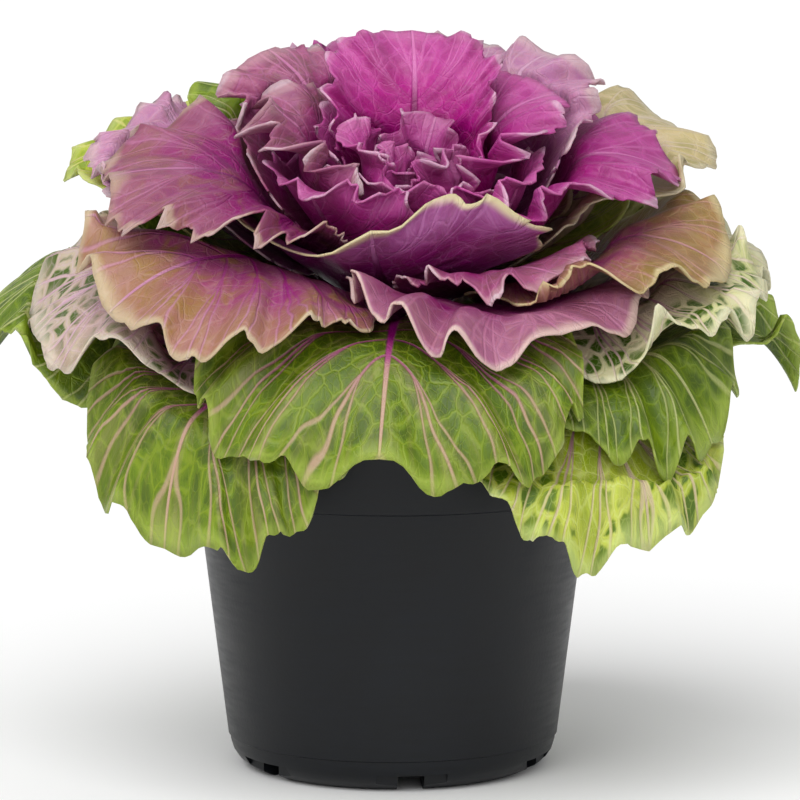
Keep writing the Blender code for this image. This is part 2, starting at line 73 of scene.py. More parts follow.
# Section of the pot, as (radius, height) in mm; each stretch goes on from the one before
POT_FLOOR_BELOW = [(0.5, 4), (35, 4)]
POT_FOOT_RING = [(35.6, 3.6), (36, 0.4), (36.4, 0), (39.4, 0), (40.2, 0.3)]
POT_FOOT_BEND = [(42.6, 1.4), (44.6, 2.9), (46.0, 5.0), (46.75, 7.4), (46.9, 9.1)]
POT_MOULDING_STEP = [(47.1, 9.3), (47.45, 9.4), (47.5, 9.9)]
POT_BODY = [(51, 38), (56.1, 79.3)]
POT_COLLAR_STEP = [(56.5, 80.0), (57.4, 80.3), (60.4, 80.4), (61.1, 80.8), (61.4, 81.8)]
POT_COLLAR = [(63.2, 92), (64.8, 102.6)]
POT_RIM = [(65.0, 103.5), (64.6, 103.9), (64.2, 104.0), (63.7, 103.8), (63.5, 103.2)]
POT_INSIDE = [(60.1, 82.5), (55.0, 81), (45.7, 9.5), (43, 6.2), (0.5, 6.2)]
POT_SECTION = (
    POT_FLOOR_BELOW + POT_FOOT_RING + POT_FOOT_BEND + POT_MOULDING_STEP + POT_BODY
    + POT_COLLAR_STEP + POT_COLLAR + POT_RIM + POT_INSIDE
)

# Room left below each leaf for the next one, at the outer leaves and at the heart
GAP = 2.3 * MM
INNER_GAP = 3.2 * MM

# Head: where the leaves part from the stem, and how far the head leans
CROWN = Vector((3 * MM, -5 * MM, 128.5 * MM))
LEAN_FORWARD = math.radians(20)
LEAN_RIGHT = math.radians(2)

Leaf = namedtuple("Leaf", "name azimuth layer length width cup droop ruffle waves skew roll")

# azimuth and layer in degrees (0 is right, -90 the front, 90 the back); length and half width
# in mm; cup and droop in degrees at the side and at the tip; ruffle in mm; waves on each side;
# skew turns the midrib sideways, in degrees at the tip
LEAVES = [
    Leaf("inner_1", 84, 72, 71, 31, 2, 14, 3.4, 4.4, 6, 0),
    Leaf("inner_2", 32, 68, 66, 29, 2, 16, 3.6, 4.4, -6, 0),
    Leaf("inner_3", 168, 66, 64, 28, 2, 16, 3.6, 4.4, 5, 0),
    Leaf("inner_4", 118, 72, 53, 23, 4, 10, 2.4, 4.4, 4, 0),
    Leaf("inner_5", -95, 67, 44, 26, 6, 7, 2.4, 5.0, 0, 0),
    Leaf("inner_6", -30, 61, 54, 25, 4, 12, 3.0, 4.2, 0, 0),
    Leaf("inner_7", -144, 61.5, 54, 26, 4, 12, 2.6, 4.4, 0, 0),
    Leaf("middle_1", 134, 58, 77, 31, 0, 16, 3.6, 4.6, 0, 0),
    Leaf("middle_2", 50, 59, 80, 34, 0, 18, 4.0, 4.6, 0, 0),
    Leaf("middle_3", 97, 53.5, 82, 33, 0, 16, 3.2, 4.6, 0, 0),
    Leaf("middle_4", 6, 49, 81, 35, 2, 20, 4.0, 4.6, 0, 0),
    Leaf("middle_5", 186, 42, 88, 41, 0, 18, 3.6, 4.8, 0, 0),
    Leaf("cup_leaf", -105, 37, 51, 43, 3.5, -10, 2.6, 5.0, 0, 0),
    Leaf("middle_6", -45, 35.25, 60, 29, 2, 11, 2.8, 4.4, 0, 0),
    Leaf("pink_left", 154, 37, 96, 37, 0, 18, 3.5, 4.6, 0, 0),
    Leaf("cream_right", 34, 38, 98, 38, 0, 18, 3.6, 4.6, 0, 0),
    Leaf("tan_back", 74, 48, 90, 36, 0, 20, 4.2, 4.4, 0, 0),
    Leaf("green_back_left", 122, 39, 92, 35, 0, 16, 3.5, 4.4, 0, 0),
    Leaf("tan_right", -11.5, 28, 89, 41, 4, 12, 3.6, 4.8, 0, 0),
    Leaf("tan_left", 212, 27.5, 92, 49, 4, 15, 3.6, 5.2, 0, -4),
    Leaf("cream_front", -57, 27.7, 75, 43, 6, 14.75, 4.8, 5.6, 0, 0),
    Leaf("purple_left", -138, 22, 66, 34, 0, 20, 3.4, 4.0, 0, 0),
    Leaf("lime_left", 150, 31, 104, 34, 0, 18, 3.8, 4.4, 0, 0),
    Leaf("spotted_right", -15.75, 20.4, 98, 37, 4, 12, 3.8, 4.8, 0, 0),
    Leaf("spotted_back_right", 14, 19, 101, 32, 0, 16, 3.6, 4.4, 0, 0),
    Leaf("spotted_left", 192, 18, 100, 40, 4, 20, 4.2, 5.0, 0, 0),
    Leaf("green_left", 170, 10, 116, 42, 0, 18, 4.0, 5.0, 0, 0),
    Leaf("pale_right", 19, 13.65, 98, 31, 0, 19, 3.8, 4.6, 0, 0),
    Leaf("green_front", -94, 24, 89, 53, -2, 26, 3.8, 6.0, 0, 0),
    Leaf("curled_right", 14, 0.7, 116, 20, 10, 16, 4.0, 4.4, 0, 0),
    Leaf("green_right", -30.75, 17.2, 93, 38, 0, 24, 4.0, 5.0, 0, 4),
    Leaf("drooping_left", -137, 13, 98, 46, 0, 32, 4.2, 5.8, 8, 0),
    Leaf("drooping_right", -42, 14.2, 101, 45, 0, 31, 4.2, 5.8, -8, 0),
    Leaf("under_front", -82, 17, 70, 22, 0, 24, 3.2, 4.4, 0, 0),
    Leaf("under_left", 208, 3, 86, 30, 0, 22, 3.4, 4.6, 0, 0),
    Leaf("green_back_1", 58, 34, 98, 40, 0, 22, 4.2, 4.8, 0, 0),
    Leaf("green_back_2", 94, 28, 100, 42, 0, 24, 4.2, 4.8, 0, 0),
    Leaf("green_back_3", 130, 18, 104, 42, 0, 26, 4.2, 4.8, 0, 0),
    Leaf("green_back_4", 54, 10, 104, 42, 0, 24, 4.2, 4.8, 0, 0),
    Leaf("green_back_5", 78, 8, 100, 44, 0, 28, 4.2, 4.8, 0, 0),
]
HEART_LEAVES = [
    Leaf("heart_1", 20, 90, 35, 9, 0, 2, 1.4, 2.6, 0, 0),
    Leaf("heart_2", 150, 88, 39, 11, 0, 4, 1.6, 2.8, 0, 0),
    Leaf("heart_3", -95, 86, 37, 13, 0, 4, 1.6, 2.8, 0, 0),
    Leaf("heart_4", 60, 83, 46, 16, 0, 6, 2.0, 3.2, 0, 0),
    Leaf("heart_5", -30, 81, 44, 15, 0, 6, 2.0, 3.2, 0, 0),
    Leaf("heart_6", 185, 80, 48, 17, 0, 8, 2.0, 3.4, 0, 0),
]

# The fan of curves: attachment on the stem and course, by layer
FAN_LAYERS = np.array([-95.0, -60.0, -20.0, 20.0, 50.0, 90.0, 110.0])
FAN_HEIGHTS = np.array([-24.0, -19.0, -11.0, 0.0, 9.0, 15.0, 16.0]) * MM
FAN_RADII = np.array([8.8, 8.8, 8.8, 8.7, 7.5, 2.5, 1.0]) * MM
FAN_ARCH = 20 * MM
FAN_REACH = 160 * MM
LAYER_STEPS = np.linspace(-95.0, 110.0, 83)
REACH_STEPS = np.linspace(0.0, FAN_REACH, 81)

# Cells of the cover that earlier leaves make, by distance along the fan and by azimuth
COVER_RINGS = 54
COVER_SPOKES = 90
OPEN_SKY = 130.0

# The first leaves of the list are the head; the others are the plainer ones below it
HEAD_LEAVES = 14
# How broad the crests of the waves are: 0 is a sine
ROUNDNESS = 1.2
# Rows of a blade for each mm of its length, and columns from its rib to its edge
ROWS_PER_MM = 1.25
STALK_ROWS = 9
HALF_COLUMNS = 16
# Each leaf draws its frill and its tone from seeds of their own
FRILL_SEED = 500
TONE_SEED = 900

# Camera and light: half the width of the picture at the plant, where the camera aims, and the
# suns by name, course, angle across in degrees and strength
HALF_PICTURE = 114.5 * MM
AIM = PLACE + Vector((2.1 * MM, 0, 105 * MM))
FLOOR_SIDE = 80
SUNS = (("key", (0.3, 0.75, -1.0), 60, 2.2), ("front", (-0.25, 1.0, -0.12), 50, 0.5))


def fan_tables():
    """Radius and height of every curve of the fan, by layer and distance along it."""
    layer = LAYER_STEPS[:, None]
    reach = REACH_STEPS[None, :]
    start = 42 + 0.5 * layer
    fall = np.interp(layer, [-60, 20, 90], [8, 7, 3]) * (reach / (100 * MM)) ** 2
    slope = np.radians(layer + (start - layer) * np.exp(-reach / FAN_ARCH) - fall)
    step = REACH_STEPS[1]

    def along(values, first):
        middle = (values[:, 1:] + values[:, :-1]) / 2 * step
        return np.concatenate([first, first + np.cumsum(middle, axis=1)], axis=1)

    radius = along(np.cos(slope), np.interp(layer, FAN_LAYERS, FAN_RADII))
    height = along(np.sin(slope), np.interp(layer, FAN_LAYERS, FAN_HEIGHTS))
    return radius, height


FAN_RADIUS, FAN_HEIGHT = fan_tables()


def fan(table, layer, reach):
    """Bilinear reading of a fan table."""
    i = (np.clip(layer, LAYER_STEPS[0], LAYER_STEPS[-1]) - LAYER_STEPS[0]) / (
        LAYER_STEPS[1] - LAYER_STEPS[0]
    )
    j = np.clip(reach, 0, FAN_REACH) / REACH_STEPS[1]
    i0 = np.minimum(i.astype(int), len(LAYER_STEPS) - 2)
    j0 = np.minimum(j.astype(int), len(REACH_STEPS) - 2)
    u, v = i - i0, j - j0
    low = table[i0, j0] * (1 - v) + table[i0, j0 + 1] * v
    high = table[i0 + 1, j0] * (1 - v) + table[i0 + 1, j0 + 1] * v
    return low * (1 - u) + high * u


def flat_blade(leaf, rows, columns):
    """The leaf laid flat. A row runs from the midrib to the edge as a side vein does: it counts
    from -1 at the stem to 0 where the blade begins, and on to 1 at the tip. A column counts from
    0 on the midrib to 1 or -1 at the edge. Returns x across and y along."""
    length, width = leaf.length * MM, leaf.width * MM
    row, column = np.meshgrid(rows, columns, indexing="ij")
    side = np.abs(column)
    stalk = 0.2 * length
    half_stalk = np.clip(0.07 * length, 1.6 * MM, 3.4 * MM)
    blade = length - stalk
    along = np.clip(row, 0, 1)
    rib = stalk + blade * 0.76 * along**1.4
    edge_x = width * np.sin(np.pi * along) ** 0.72 + half_stalk * (1 - along) ** 2
    edge_y = stalk + blade * (1 - np.cos(np.pi * along)) / 2
    x = edge_x * column
    y = rib + (edge_y - rib) * side**1.3
    on_stalk = row < 0
    x = np.where(on_stalk, half_stalk * column, x)
    y = np.where(on_stalk, stalk * (1 + row), y)
    return x, y


def rounded(wave):
    """Waves from -1 to 1 with broad crests and steep sides, as a margin that has grown too long
    for its blade."""
    return np.tanh(ROUNDNESS * wave) / math.tanh(ROUNDNESS)


def ruffle(leaf, rows, columns, seed):
    """Waves that grow towards the edge, in metres, across the blade."""
    draw = np.random.default_rng(seed)
    row, column = np.meshgrid(rows, columns, indexing="ij")
    phase = draw.uniform(0, 2 * np.pi, 6)
    along = np.clip(row, 0, 1)
    turn = np.where(column < 0, phase[0], phase[1])
    # both sides meet in one wave at the tip
    meet = along**6
    turn = turn * (1 - meet) + phase[2] * meet
    wander = 0.9 * np.sin(2 * np.pi * 1.3 * along + phase[3] * np.sign(column + 1e-9))
    wave = rounded(np.sin(2 * np.pi * leaf.waves * along + turn + wander * (1 - meet)))
    fade = np.clip(along / 0.12, 0, 1)
    return leaf.ruffle * MM * wave * fade * np.abs(column) ** 2.2


class Cover:
    """The lowest layer that earlier leaves reach in each direction."""

    def __init__(self):
        self.cells = np.full((COVER_RINGS, COVER_SPOKES), OPEN_SKY)

    def spread(self):
        """A copy that reaches past the edges of the leaves and has soft steps."""
        cells = self.cells
        for _ in range(2):
            ring = np.pad(cells, ((1, 1), (0, 0)), mode="edge")
            cells = np.minimum(np.minimum(ring[:-2], ring[2:]), ring[1:-1])
            cells = np.minimum(cells, np.minimum(np.roll(cells, 1, 1), np.roll(cells, -1, 1)))
        for _ in range(2):
            ring = np.pad(cells, ((1, 1), (0, 0)), mode="edge")
            cells = (ring[:-2] + ring[2:] + ring[1:-1]) / 3
            cells = (cells + np.roll(cells, 1, 1) + np.roll(cells, -1, 1)) / 3
        return cells

    @staticmethod
    def place(reach, azimuth):
        i = np.clip(reach / FAN_REACH, 0, 0.9999) * COVER_RINGS - 0.5
        j = (azimuth / (2 * np.pi) % 1.0) * COVER_SPOKES - 0.5
        return i, j

    @classmethod
    def read(cls, cells, reach, azimuth):
        i, j = cls.place(reach, azimuth)
        i = np.clip(i, 0, COVER_RINGS - 1.001)
        i0, j0 = np.floor(i).astype(int), np.floor(j).astype(int)
        u, v = i - i0, j - j0
        j0, j1 = j0 % COVER_SPOKES, (j0 + 1) % COVER_SPOKES
        low = cells[i0, j0] * (1 - v) + cells[i0, j1] * v
        high = cells[i0 + 1, j0] * (1 - v) + cells[i0 + 1, j1] * v
        return low * (1 - u) + high * u

    def add(self, reach, azimuth, layer):
        i, j = self.place(reach, azimuth)
        i = np.clip(np.round(i).astype(int), 0, COVER_RINGS - 1)
        j = np.round(j).astype(int) % COVER_SPOKES
        np.minimum.at(self.cells, (i, j), layer)


def leaf_course(leaf, seed, rows, columns, cells, teeth=0.0, frills=0.0):
    """Reach, azimuth and layer of every point of a leaf, pressed below what covers it. The teeth
    reach out along the side veins and the frills stand across the blade, both in metres."""
    x, y = flat_blade(leaf, rows, columns)
    y_rib = y[:, [len(columns) // 2]]
    vein = np.maximum(np.hypot(x, y - y_rib), 0.1 * MM)
    x, y = x + x / vein * teeth, y + (y - y_rib) / vein * teeth
    reach = np.hypot(x, y)
    tip = reach / (leaf.length * MM)
    side = np.abs(x) / (leaf.width * MM)
    layer = leaf.layer + leaf.cup * side**1.5 - leaf.droop * tip**3.2
    layer = layer + leaf.roll * x / (leaf.width * MM)
    per_degree = 0.25 * MM + reach * 0.0155
    layer = layer + (ruffle(leaf, rows, columns, seed) + frills) / per_degree
    radius = np.maximum(fan(FAN_RADIUS, layer, reach), 6 * MM)
    swing = reach * np.arctan2(x, y) / radius
    swing = 1.9 * np.tanh(swing / 1.9)
    azimuth = math.radians(leaf.azimuth) + swing + math.radians(leaf.skew) * tip**2
    gap = GAP + (INNER_GAP - GAP) * min(max((leaf.layer - 40) / 20, 0), 1)
    gap = gap * (1 + 0.35 * side**2)
    limit = Cover.read(cells, reach, azimuth) - gap / per_degree
    soft = 1.2
    over = np.clip((layer - limit) / soft, -30, 30)
    press = soft * np.log1p(np.exp(over))
    if leaf in HEART_LEAVES:
        press = press * np.clip(reach / (12 * MM), 0, 1)
    return reach, azimuth, layer - press


def head_matrix():
    lean = Matrix.Rotation(LEAN_FORWARD, 4, "X") @ Matrix.Rotation(LEAN_RIGHT, 4, "Y")
    return Matrix.Translation(CROWN) @ lean


def leaf_points(reach, azimuth, layer):
    radius = fan(FAN_RADIUS, layer, reach)
    height = fan(FAN_HEIGHT, layer, reach)
    local = np.stack([radius * np.cos(azimuth), radius * np.sin(azimuth), height], axis=-1)
    matrix = np.array(head_matrix())
    points = local @ matrix[:3, :3].T + matrix[:3, 3]
    # leaves rest above the rim of the pot and hang clear of its collar
    out = np.hypot(points[..., 0], points[..., 1])
    floor = POT_HEIGHT + 4.2 * MM - 6 * np.maximum(out - RIM_RADIUS - 4 * MM, 0)
    soft = 1.6 * MM
    points[..., 2] += soft * np.log1p(np.exp(np.clip((floor - points[..., 2]) / soft, -30, 30)))
    return points


SAMPLE_ROWS = np.concatenate([np.linspace(-1, 0, 12)[:-1], np.linspace(0, 1, 70)])
SAMPLE_COLUMNS = np.linspace(-1, 1, 61)


def lay_leaves():
    """Lays all leaves from the heart outwards. Returns (leaf, seed, cover) for each."""
    cover, laid = Cover(), []
    ordered = sorted(HEART_LEAVES + LEAVES, key=lambda leaf: -leaf.layer)
    for seed, leaf in enumerate(ordered):
        cells = cover.spread()
        course = leaf_course(leaf, seed, SAMPLE_ROWS, SAMPLE_COLUMNS, cells)
        cover.add(*course)
        laid.append((leaf, seed, cells))
    return laid


# How an edge is frilled, in mm: height and length of the second and the third waves across the
# blade, depth and length of the lobes, and height and length of the teeth
Frill = namedtuple(
    "Frill", "second second_wave third third_wave lobe lobe_wave tooth tooth_wave"
)
CURLY = Frill(2.6, 9.0, 1.5, 3.8, 2.2, 9.0, 1.3, 2.6)
WAVY = Frill(2.3, 10.0, 1.2, 4.2, 1.9, 11.0, 1.2, 3.0)
SMOOTH = Frill(1.6, 13.0, 0.6, 5.5, 0.7, 15.0, 0.5, 5.0)

# What each leaf is painted with
PALETTE_OF = {
    "inner_1": "magenta", "inner_2": "magenta", "inner_3": "magenta_olive", "inner_4": "magenta",
    "inner_5": "magenta", "inner_6": "magenta", "inner_7": "magenta", "middle_1": "magenta_olive",
    "middle_2": "lilac", "middle_3": "magenta", "middle_4": "magenta", "middle_5": "purple_tan",
    "cup_leaf": "cup", "middle_6": "magenta_olive", "pink_left": "lilac", "cream_right": "cream",
    "tan_back": "tan", "green_back_left": "green", "tan_right": "tan", "tan_left": "pink_tan",
    "cream_front": "purple_front", "purple_left": "purple_tan", "lime_left": "lime",
    "spotted_right": "spotted", "spotted_back_right": "spotted", "spotted_left": "spotted_pink",
    "green_left": "green", "pale_right": "pale", "green_front": "green_magenta",
    "curled_right": "green", "green_right": "green", "drooping_left": "green_magenta",
    "drooping_right": "lime_spotted", "under_front": "green", "under_left": "green",
    "green_back_1": "lime", "green_back_2": "green", "green_back_3": "green",
    "green_back_4": "green", "green_back_5": "green",
}

# sRGB colours: deep at the stem, body and edge; the ribs near the stem and further out;
# the fine net; the cells between the veins; blotches; the thin pale rim; and the underside.
# The numbers are how far each of them shows
Palette = namedtuple(
    "Palette",
    "deep body edge rib rib_far lines net net_share cell cell_share blotch blotch_share"
    " rim rim_share under under_edge under_rib under_lines",
)
PALETTES = {
    "magenta": Palette("#4A0430", "#A82C80", "#BE5E9E", "#740C50", "#CE7EB2", 0.4,
                       "#C264A0", 0.3, "#881C62", 0.35, "#7A4A52", 0.25, "#DCA8C4", 0.22,
                       "#A04A92", "#B060A2", "#6A1A62", 0.5),
    "magenta_olive": Palette("#4A0430", "#A02C78", "#AC6A86", "#740C50", "#C884AA", 0.45,
                             "#B070A0", 0.3, "#7C2A64", 0.35, "#6A4E3C", 0.6, "#D2B4B4", 0.4,
                             "#985090", "#A0708C", "#6A1A62", 0.5),
    "lilac": Palette("#74185A", "#B85E9E", "#CE98B6", "#8E2C74", "#DCAECA", 0.5,
                     "#C89CC0", 0.3, "#A0529A", 0.3, "#9C7C64", 0.3, "#E0CAC8", 0.6,
                     "#AA74A2", "#C4A0B4", "#7A3478", 0.5),
    "cup": Palette("#52063A", "#982A80", "#A05A90", "#6A0C54", "#BC7CAC", 0.5,
                   "#B070A0", 0.5, "#7C2A64", 0.3, "#6A4E3C", 0.3, "#E6DCB0", 0.9,
                   "#D490CC", "#CCC294", "#5A2064", 0.9),
    "purple_tan": Palette("#52083A", "#982A76", "#A4667A", "#7A1660", "#C684AA", 0.5,
                          "#B07C98", 0.3, "#7C3C6A", 0.3, "#96744C", 0.5, "#D8C2AC", 0.6,
                          "#986484", "#A88C74", "#6A2462", 0.5),
    "pink_tan": Palette("#7A0C58", "#A84E86", "#B0846C", "#A01C84", "#D098B4", 0.7,
                        "#C8A09C", 0.3, "#9C7268", 0.3, "#A48446", 0.75, "#E0D0B0", 0.75,
                        "#B89C98", "#BCAC70", "#7E4470", 0.7),
    "tan": Palette("#6E0E50", "#A04C78", "#A8845E", "#8A2070", "#CC9C9C", 0.5,
                   "#BCA480", 0.3, "#80644A", 0.35, "#8A7C3A", 0.6, "#DED0A4", 0.75,
                   "#A8848C", "#B4A86C", "#7E4470", 0.6),
    "purple_front": Palette("#3E0426", "#842462", "#B87C94", "#6A0E4C", "#C080A0", 0.5,
                            "#B07CA2", 0.3, "#742A62", 0.3, "#9C7C64", 0.25, "#E8CCC4", 0.9,
                            "#98748E", "#B89C84", "#6A2462", 0.5),
    "cream": Palette("#AC6C90", "#C8B298", "#D0C094", "#9A4C88", "#DCCCB8", 0.6,
                     "#D6C8AC", 0.3, "#98925A", 0.4, "#807838", 0.35, "#E4DABE", 0.6,
                     "#C8B69C", "#CEC090", "#A8789A", 0.6),
    "spotted": Palette("#A87094", "#D2C0B0", "#CCCC98", "#9A4488", "#DCCABC", 0.9,
                       "#D8D2B0", 0.5, "#3E5C10", 1.0, "#6E8A30", 0.3, "#E4E0C0", 0.8,
                       "#B4BA88", "#B8C67C", "#CDC0A0", 0.5),
    "spotted_pink": Palette("#A44C90", "#CC98B2", "#CEC0A8", "#9C2A8E", "#DCB8C8", 0.85,
                            "#DCC4C8", 0.5, "#44600F", 0.95, "#A8827C", 0.4, "#E6DAC8", 0.8,
                            "#C4A0A8", "#C2BA94", "#A8609A", 0.5),
    "lime": Palette("#9A8850", "#98A832", "#BCC658", "#965078", "#D0C88C", 0.7,
                    "#C8D07C", 0.35, "#5C7E1C", 0.5, "#7C9428", 0.5, "#D4DC9C", 0.5,
                    "#A8B468", "#B4C06A", "#C8C898", 0.5),
    "lime_spotted": Palette("#84406A", "#90A028", "#BCC65C", "#9A3C8A", "#CCBAA0", 0.8,
                            "#CCD688", 0.45, "#456508", 0.95, "#748E22", 0.4, "#D2E090", 0.6,
                            "#A4B260", "#B2C064", "#C8C898", 0.5),
    "green": Palette("#5E6028", "#48600A", "#607A12", "#A88A7C", "#BCC088", 0.8,
                     "#8CA040", 0.45, "#324A04", 0.6, "#6C8418", 0.4, "#BCCE6C", 0.5,
                     "#7C9044", "#8CA65A", "#BCCC98", 0.6),
    "green_magenta": Palette("#742C50", "#4A620C", "#668014", "#A8208C", "#C8A894", 0.8,
                             "#98A84C", 0.45, "#384E04", 0.6, "#708A1A", 0.4, "#BCCE6C", 0.5,
                             "#7C9650", "#8CA65A", "#B88AA0", 0.6),
    "pale": Palette("#98A86C", "#8CAC60", "#9CB874", "#BCC898", "#C8D6A8", 0.8,
                    "#ACC080", 0.4, "#74944A", 0.5, "#7E9A4C", 0.4, "#C8D890", 0.5,
                    "#9CB478", "#A8C084", "#CCDCAC", 0.6),
}


def linear(colour):
    """A colour written as sRGB hex, as linear red, green, blue and alpha."""
    parts = [int(colour[i : i + 2], 16) / 255 for i in (1, 3, 5)]
    low = [part / 12.92 for part in parts]
    high = [((part + 0.055) / 1.055) ** 2.4 for part in parts]
    return (*(a if part <= 0.04045 else b for part, a, b in zip(parts, low, high)), 1.0)


def add(tree, kind, inputs=None, **settings):
    """Adds a shader node. A node given as an input means its first output."""
    made = tree.nodes.new(f"ShaderNode{kind}")
    for key, value in settings.items():
        setattr(made, key, value)
    for key, value in (inputs or {}).items():
        if isinstance(value, bpy.types.Node):
            value = value.outputs[0]
        if isinstance(value, bpy.types.NodeSocket):
            tree.links.new(value, made.inputs[key])
        else:
            made.inputs[key].default_value = value
    return made


# A map range with soft ends
SOFT = {"interpolation_type": "SMOOTHSTEP"}


def vein_group():
    """How the veins run: strong side veins that fork, a fine net, and the edge of the blade. A
    leaf lies flat in mm in its "flat" attribute, so a scale is one over a size in mm. "vein"
    holds side veins counted along the rib, the share of the way to the edge, and the distance
    from it in mm; "grow" holds the share of the leaf's length and the tone of the leaf."""
    tree = bpy.data.node_groups.new("kale_veins", "ShaderNodeTree")
    flat = add(tree, "Attribute", attribute_name="flat")
    vein = add(tree, "Attribute", attribute_name="vein")
    grow = add(tree, "Attribute", attribute_name="grow")
    lie = flat.outputs["Vector"]
    flat_parts = add(tree, "SeparateXYZ", {0: lie})
    vein_parts = add(tree, "SeparateXYZ", {0: vein.outputs["Vector"]})
    grow_parts = add(tree, "SeparateXYZ", {0: grow.outputs["Vector"]})
    count, side, edge = vein_parts.outputs
    along, leaf_tone = grow_parts.outputs[0], grow_parts.outputs[1]
    # a slow wander, 25 mm long, keeps the side veins from running like a comb
    wander = add(tree, "TexNoise", {"Vector": lie, "Scale": 0.04, "Detail": 2.0,
                                    "Roughness": 0.5})
    wander = add(tree, "Math", {0: wander, 1: 0.5}, operation="SUBTRACT")
    wander = add(tree, "Math", {0: wander, 1: side}, operation="MULTIPLY")
    line = add(tree, "Math", {0: wander, 1: 1.1, 2: count}, operation="MULTIPLY_ADD")
    line = add(tree, "Math", {0: line}, operation="FRACT")
    line = add(tree, "Math", {0: line, 1: 0.5}, operation="SUBTRACT")
    line = add(tree, "Math", {0: line}, operation="ABSOLUTE")
    wide = add(tree, "MapRange", {0: side, 1: 0.0, 2: 1.0, 3: 0.085, 4: 0.035})
    main = add(tree, "Math", {0: line, 1: wide}, operation="DIVIDE")
    main = add(tree, "MapRange", {0: main, 1: 0.25, 2: 1.0, 3: 1.0, 4: 0.0}, **SOFT)
    spread = add(tree, "MapRange", {0: side, 1: 0.32, 2: 1.0, 3: 0.0, 4: 0.3})
    fork = add(tree, "Math", {0: line, 1: spread}, operation="SUBTRACT")
    fork = add(tree, "Math", {0: fork}, operation="ABSOLUTE")
    fork = add(tree, "MapRange", {0: fork, 1: 0.008, 2: 0.04, 3: 0.8, 4: 0.0}, **SOFT)
    side_veins = add(tree, "Math", {0: main, 1: fork}, operation="MAXIMUM")
    # the rib is about 2.6 mm wide at the stem and under a millimetre at the tip
    across = add(tree, "Math", {0: flat_parts.outputs[0]}, operation="ABSOLUTE")
    rib_wide = add(tree, "MapRange", {0: along, 1: 0.1, 2: 1.0, 3: 2.6, 4: 0.5})
    rib = add(tree, "Math", {0: across, 1: rib_wide}, operation="DIVIDE")
    rib = add(tree, "MapRange", {0: rib, 1: 0.45, 2: 1.0, 3: 1.0, 4: 0.0}, **SOFT)
    # cells of the net are about 5 mm across, and finer ones 2 mm
    bend = add(tree, "TexNoise", {"Vector": lie, "Scale": 0.25, "Detail": 2.0})
    bend = add(tree, "VectorMath", {0: bend.outputs["Color"], 1: (0.5, 0.5, 0.5)},
               operation="SUBTRACT")
    bent = add(tree, "VectorMath", {0: bend, 1: (3.0, 3.0, 0.0), 2: lie},
               operation="MULTIPLY_ADD")
    coarse = add(tree, "TexVoronoi", {"Vector": bent, "Scale": 0.19}, feature="DISTANCE_TO_EDGE")
    fine = add(tree, "TexVoronoi", {"Vector": bent, "Scale": 0.5}, feature="DISTANCE_TO_EDGE")
    net_coarse = add(tree, "MapRange", {0: coarse, 1: 0.01, 2: 0.07, 3: 1.0, 4: 0.0}, **SOFT)
    net_fine = add(tree, "MapRange", {0: fine, 1: 0.0, 2: 0.1, 3: 0.45, 4: 0.0}, **SOFT)
    net = add(tree, "Math", {0: net_coarse, 1: net_fine}, operation="MAXIMUM")
    patches = add(tree, "TexNoise", {"Vector": lie, "Scale": 0.06, "Detail": 3.0,
                                     "Roughness": 0.6})
    patches_on = add(tree, "MapRange", {0: patches, 1: 0.38, 2: 0.55, 3: 0.15, 4: 1.0}, **SOFT)
    cells = add(tree, "MapRange", {0: coarse, 1: 0.08, 2: 0.2, 3: 0.0, 4: 1.0}, **SOFT)
    off_vein = add(tree, "MapRange", {0: side_veins, 1: 0.0, 2: 0.6, 3: 1.0, 4: 0.0})
    cells = add(tree, "Math", {0: cells, 1: off_vein}, operation="MULTIPLY")
    cells = add(tree, "Math", {0: cells, 1: patches_on}, operation="MULTIPLY")
    rim = add(tree, "MapRange", {0: edge, 1: 0.0, 2: 1.5, 3: 1.0, 4: 0.0}, **SOFT)
    blotch = add(tree, "TexNoise", {"Vector": lie, "Scale": 0.09, "Detail": 4.0,
                                    "Roughness": 0.65, "Distortion": 0.6})
    blotch = add(tree, "MapRange", {0: blotch, 1: 0.45, 2: 0.66, 3: 0.0, 4: 1.0}, **SOFT)
    # the colour turns towards the edge of the blade within 15 mm
    margin = add(tree, "MapRange", {0: edge, 1: 0.0, 2: 15.0, 3: 1.0, 4: 0.0})
    margin = add(tree, "Math", {0: margin, 1: 0.35}, operation="MULTIPLY")
    grown = add(tree, "Math", {0: along, 1: 0.72, 2: margin}, operation="MULTIPLY_ADD")
    tip = add(tree, "MapRange", {0: edge, 1: -0.45, 2: -1.1, 3: 0.0, 4: 1.0})
    # streaks run out along the side veins
    across_veins = add(tree, "Math", {0: count, 1: 5.0}, operation="MULTIPLY")
    streak = add(tree, "CombineXYZ", {0: across_veins, 1: side, 2: leaf_tone})
    streak = add(tree, "TexNoise", {"Vector": streak, "Scale": 1.3, "Detail": 3.0,
                                    "Roughness": 0.6})
    streak = add(tree, "MapRange", {0: streak, 1: 0.45, 2: 0.7, 3: 0.0, 4: 1.0})
    given = {
        "Rib": rib, "Side veins": side_veins, "Net": net, "Cells": cells, "Edge": rim,
        "Along": grown, "Blotch": blotch, "Tone": leaf_tone, "Tip": tip, "Streak": streak,
    }
    for name in given:
        tree.interface.new_socket(name, in_out="OUTPUT", socket_type="NodeSocketFloat")
    out = tree.nodes.new("NodeGroupOutput")
    for name, value in given.items():
        if isinstance(value, bpy.types.Node):
            value = value.outputs[0]
        tree.links.new(value, out.inputs[name])
    return tree


def surface(tree, shader, colour, bump):
    """Gives a shader its colour and its relief."""
    tree.links.new(colour.outputs[0], shader.inputs["Base Color"])
    tree.links.new(bump.outputs[0], shader.inputs["Normal"])


def new_material(name):
    """A new material, its node tree and its shader."""
    made = bpy.data.materials.new(name)
    made.use_nodes = True
    return made, made.node_tree, made.node_tree.nodes["Principled BSDF"]


